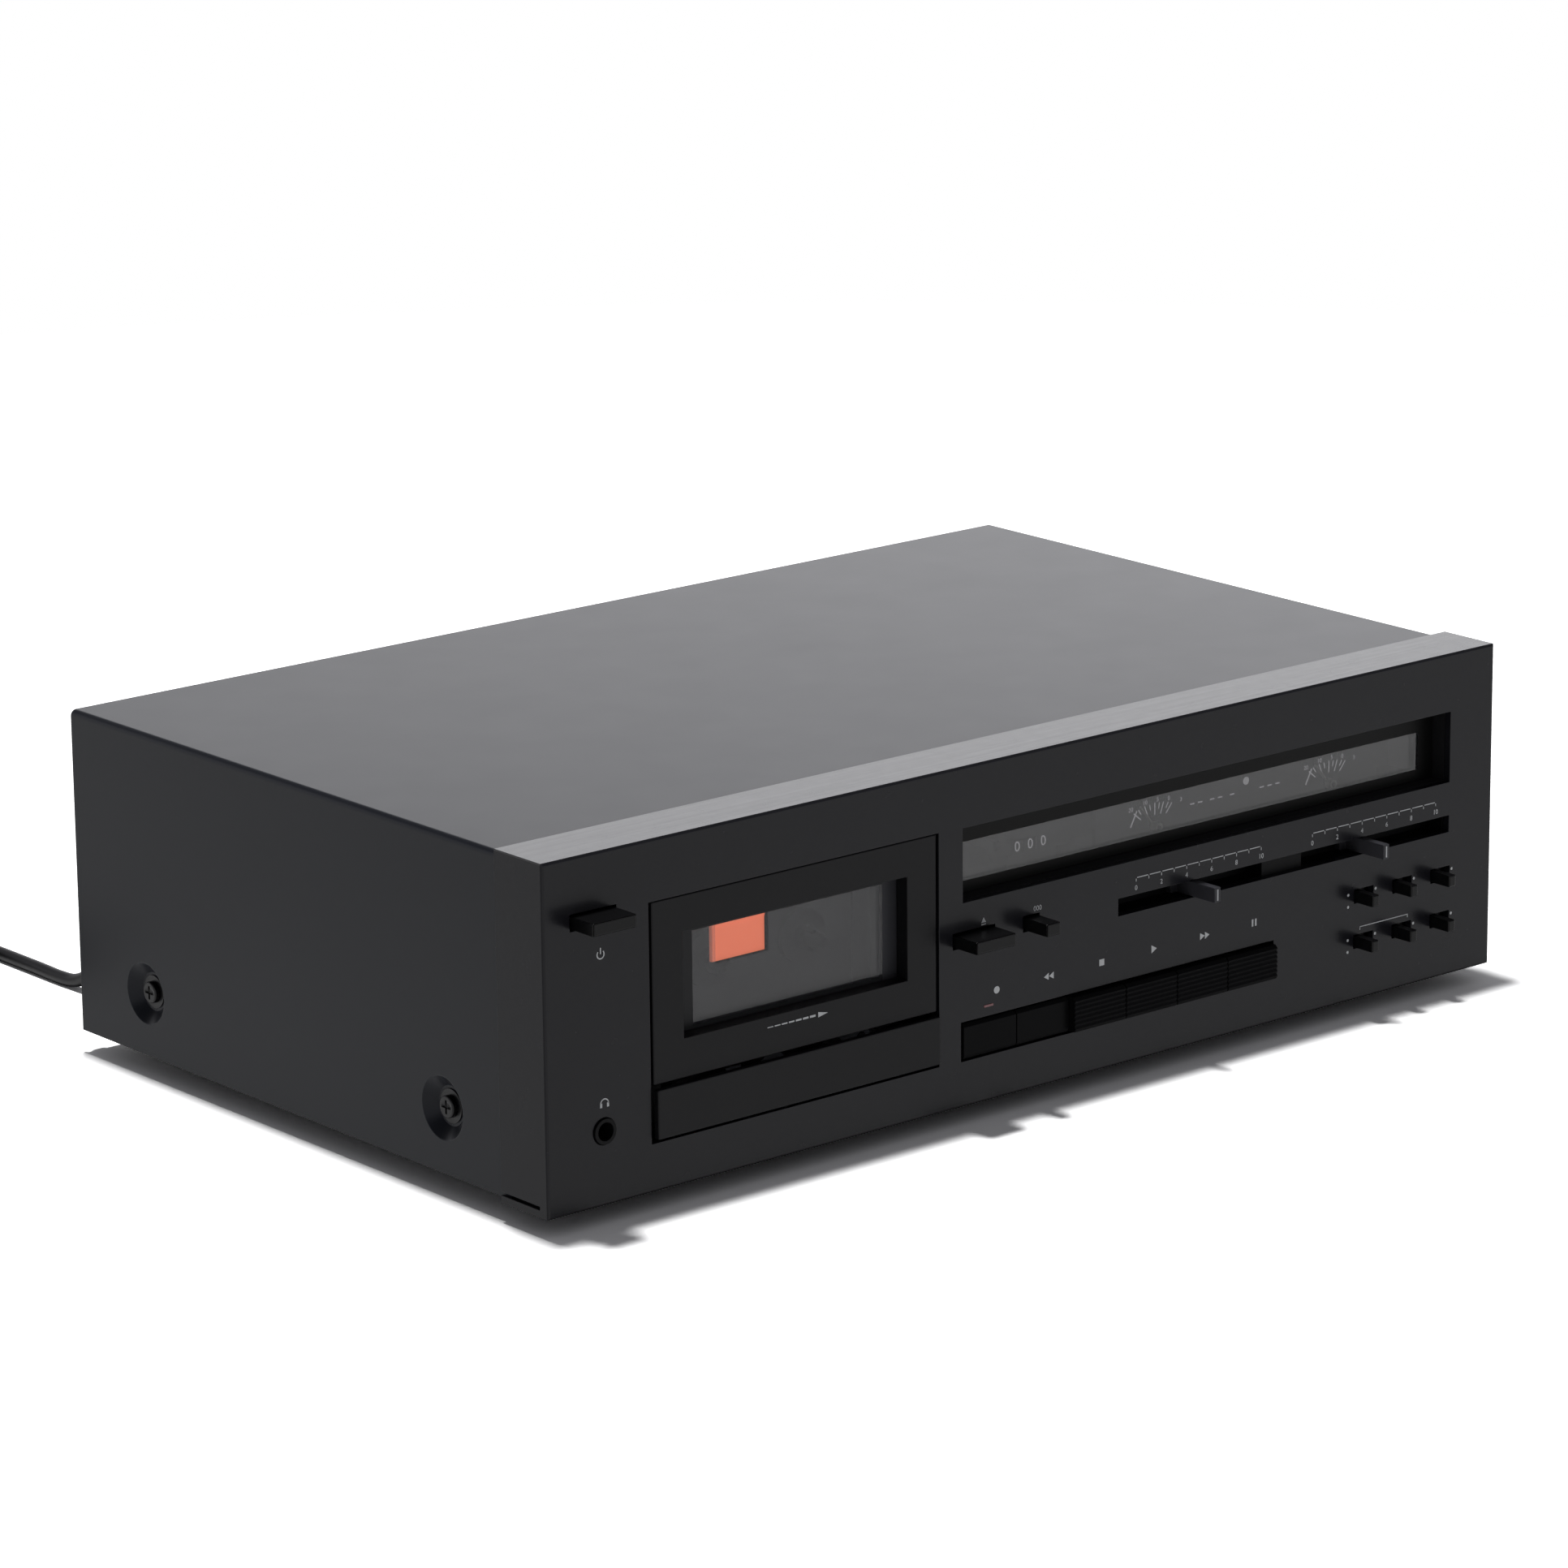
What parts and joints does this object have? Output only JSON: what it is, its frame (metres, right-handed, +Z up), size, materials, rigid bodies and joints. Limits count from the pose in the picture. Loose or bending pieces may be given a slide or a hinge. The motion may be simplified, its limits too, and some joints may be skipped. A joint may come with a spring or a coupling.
{
  "type": "cassette deck",
  "caption": "Black front-loading stereo cassette deck with a smoked door window, a long recessed display, level sliders, transport keys, slide switches and a mains lead.",
  "frame": {"origin": "middle of the deck's footprint without its lead, at the soles of its feet", "axes": "+X to the right seen from the front, +Y to the back, +Z up"},
  "size_m": [0.5027, 0.4874, 0.1314],
  "materials": {
    "board": "matt",
    "brass": "satin",
    "chassis": "satin",
    "chassis_black": "satin",
    "cover": "satin",
    "door": "satin",
    "knob": "satin",
    "lead": "satin",
    "orange": "satin",
    "panel": "satin",
    "plated": "bright",
    "rubber": "matt",
    "screw": "satin",
    "smoked_lens": "gloss",
    "steel": "satin",
    "trim": "satin",
    "turned": "bright"
  },
  "bodies": {
    "deck": {"front_panel": "panel", "top_cover": "cover", "cover_screw_left_front": "screw", "cover_screw_left_rear": "screw", "cover_screw_right_front": "screw", "cover_screw_right_rear": "screw", "bottom_chassis": "chassis", "rear_panel": "chassis_black", "foot_front_left": "rubber", "foot_front_right": "rubber", "foot_rear_left": "rubber", "foot_rear_right": "rubber", "display_housing": "trim", "display_lens": "smoked_lens", "control_board": "board", "phones_jack": "trim", "transport_plate": "steel", "capstan_motor": "steel", "drive_belt": "rubber", "main_board": "board", "power_transformer": "steel", "line_sockets": "plated", "strain_relief": "rubber", "mains_lead": "lead", "lead_coil": "lead", "mains_plug": "lead"},
    "door": {"cassette_door": "door", "door_window": "smoked_lens", "head_cover": "trim", "cassette_holder": "trim", "holder_block": "orange"},
    "power_button": {"power_button": "knob"},
    "eject_button": {"eject_button": "knob"},
    "counter_reset_button": {"counter_reset_button": "knob"},
    "key_record": {"key_record": "knob"},
    "key_rewind": {"key_rewind": "knob"},
    "key_stop": {"key_stop": "knob"},
    "key_play": {"key_play": "knob"},
    "key_forward": {"key_forward": "knob"},
    "key_pause": {"key_pause": "knob"},
    "level_slider_left": {"level_slider_left": "knob"},
    "level_slider_right": {"level_slider_right": "knob"},
    "mode_switch_1": {"mode_switch_1": "knob"},
    "mode_switch_2": {"mode_switch_2": "knob"},
    "mode_switch_3": {"mode_switch_3": "knob"},
    "mode_switch_4": {"mode_switch_4": "knob"},
    "mode_switch_5": {"mode_switch_5": "knob"},
    "mode_switch_6": {"mode_switch_6": "knob"},
    "supply_spindle": {"supply_spindle": "trim"},
    "takeup_spindle": {"takeup_spindle": "trim"},
    "capstan_flywheel": {"capstan_flywheel": "turned"},
    "motor_pulley": {"motor_pulley": "brass"},
    "head_bridge": {"head_bridge": "steel"},
    "pinch_arm": {"pinch_arm": "steel"},
    "pinch_roller": {"pinch_roller": "rubber"},
    "counter_drum_units": {"counter_drum_units": "trim"},
    "counter_drum_tens": {"counter_drum_tens": "trim"},
    "counter_drum_hundreds": {"counter_drum_hundreds": "trim"},
    "meter_needle_left": {"meter_needle_left": "orange"},
    "meter_needle_right": {"meter_needle_right": "orange"}
  },
  "joints": [
    {"name": "door_tilt", "type": "hinge", "parent": "deck", "child": "door", "pos_m": [0, -0.1305, 0.0205], "axis": [1, 0, 0], "range_deg": [0, 16]},
    {"name": "power_push", "type": "slide", "parent": "deck", "child": "power_button", "axis": [0, 1, 0], "range_m": [0, 0.004], "stiffness_N_per_m": 250, "springref_m": -0.002},
    {"name": "eject_push", "type": "slide", "parent": "deck", "child": "eject_button", "axis": [0, 1, 0], "range_m": [0, 0.0035], "stiffness_N_per_m": 250, "springref_m": -0.002},
    {"name": "counter_reset_push", "type": "slide", "parent": "deck", "child": "counter_reset_button", "axis": [0, 1, 0], "range_m": [0, 0.003], "stiffness_N_per_m": 200, "springref_m": -0.002},
    {"name": "record_key_push", "type": "slide", "parent": "deck", "child": "key_record", "axis": [0, 1, 0], "range_m": [0, 0.0022], "stiffness_N_per_m": 300, "springref_m": -0.002},
    {"name": "rewind_key_push", "type": "slide", "parent": "deck", "child": "key_rewind", "axis": [0, 1, 0], "range_m": [0, 0.0022], "stiffness_N_per_m": 300, "springref_m": -0.002},
    {"name": "stop_key_push", "type": "slide", "parent": "deck", "child": "key_stop", "axis": [0, 1, 0], "range_m": [0, 0.0022], "stiffness_N_per_m": 300, "springref_m": -0.002},
    {"name": "play_key_push", "type": "slide", "parent": "deck", "child": "key_play", "axis": [0, 1, 0], "range_m": [0, 0.0022], "stiffness_N_per_m": 300, "springref_m": -0.002},
    {"name": "forward_key_push", "type": "slide", "parent": "deck", "child": "key_forward", "axis": [0, 1, 0], "range_m": [0, 0.0022], "stiffness_N_per_m": 300, "springref_m": -0.002},
    {"name": "pause_key_push", "type": "slide", "parent": "deck", "child": "key_pause", "axis": [0, 1, 0], "range_m": [0, 0.0022], "stiffness_N_per_m": 300, "springref_m": -0.002},
    {"name": "left_level_slide", "type": "slide", "parent": "deck", "child": "level_slider_left", "axis": [1, 0, 0], "range_m": [-0.0315, 0.0315]},
    {"name": "right_level_slide", "type": "slide", "parent": "deck", "child": "level_slider_right", "axis": [1, 0, 0], "range_m": [-0.024, 0.039]},
    {"name": "switch_1_slide", "type": "slide", "parent": "deck", "child": "mode_switch_1", "axis": [1, 0, 0], "range_m": [0, 0.0058]},
    {"name": "switch_2_slide", "type": "slide", "parent": "deck", "child": "mode_switch_2", "axis": [1, 0, 0], "range_m": [0, 0.0058]},
    {"name": "switch_3_slide", "type": "slide", "parent": "deck", "child": "mode_switch_3", "axis": [1, 0, 0], "range_m": [0, 0.0058]},
    {"name": "switch_4_slide", "type": "slide", "parent": "deck", "child": "mode_switch_4", "axis": [1, 0, 0], "range_m": [0, 0.0058]},
    {"name": "switch_5_slide", "type": "slide", "parent": "deck", "child": "mode_switch_5", "axis": [1, 0, 0], "range_m": [0, 0.0058]},
    {"name": "switch_6_slide", "type": "slide", "parent": "deck", "child": "mode_switch_6", "axis": [1, 0, 0], "range_m": [0, 0.0058]},
    {"name": "supply_spin", "type": "hinge", "parent": "deck", "child": "supply_spindle", "pos_m": [-0.1367, -0.1145, 0.0763], "axis": [0, 1, 0], "continuous": true},
    {"name": "takeup_spin", "type": "hinge", "parent": "deck", "child": "takeup_spindle", "pos_m": [-0.0942, -0.1145, 0.0763], "axis": [0, 1, 0], "continuous": true},
    {"name": "capstan_spin", "type": "hinge", "parent": "deck", "child": "capstan_flywheel", "pos_m": [-0.08895, -0.1085, 0.0494], "axis": [0, 1, 0], "continuous": true},
    {"name": "motor_pulley_spin", "type": "hinge", "parent": "deck", "child": "motor_pulley", "pos_m": [-0.15295, -0.1025, 0.0434], "axis": [0, 1, 0], "continuous": true},
    {"name": "head_bridge_rise", "type": "slide", "parent": "deck", "child": "head_bridge", "axis": [0, 0, 1], "range_m": [0, 0.006], "stiffness_N_per_m": 150, "springref_m": -0.002},
    {"name": "pinch_arm_swing", "type": "hinge", "parent": "deck", "child": "pinch_arm", "pos_m": [-0.06795, -0.1155, 0.0339], "axis": [0, 1, 0], "range_deg": [0, 21]},
    {"name": "pinch_roller_spin", "type": "hinge", "parent": "pinch_arm", "child": "pinch_roller", "pos_m": [-0.08895, -0.1205, 0.0339], "axis": [0, 1, 0], "continuous": true},
    {"name": "counter_units_spin", "type": "hinge", "parent": "deck", "child": "counter_drum_units", "pos_m": [-0.005, -0.1196, 0.0933], "axis": [1, 0, 0], "continuous": true},
    {"name": "counter_tens_spin", "type": "hinge", "parent": "deck", "child": "counter_drum_tens", "pos_m": [-0.005, -0.1196, 0.0933], "axis": [1, 0, 0], "continuous": true},
    {"name": "counter_hundreds_spin", "type": "hinge", "parent": "deck", "child": "counter_drum_hundreds", "pos_m": [-0.005, -0.1196, 0.0933], "axis": [1, 0, 0], "continuous": true},
    {"name": "left_meter_swing", "type": "hinge", "parent": "deck", "child": "meter_needle_left", "pos_m": [0.0664, -0.1235, 0.0871], "axis": [0, 1, 0], "range_deg": [0, 80], "stiffness_Nm_per_rad": 0.0002, "springref_deg": -20.05},
    {"name": "right_meter_swing", "type": "hinge", "parent": "deck", "child": "meter_needle_right", "pos_m": [0.1544, -0.1235, 0.0871], "axis": [0, 1, 0], "range_deg": [0, 80], "stiffness_Nm_per_rad": 0.0002, "springref_deg": -20.05}
  ],
  "couplings": [
    {"joint": "motor_pulley_spin", "follows": "capstan_spin", "ratio": 5.6364},
    {"joint": "pinch_arm_swing", "follows": "head_bridge_rise", "rad_per_m": 61},
    {"joint": "counter_tens_spin", "follows": "counter_units_spin", "ratio": 0.1},
    {"joint": "counter_hundreds_spin", "follows": "counter_units_spin", "ratio": 0.01}
  ]
}
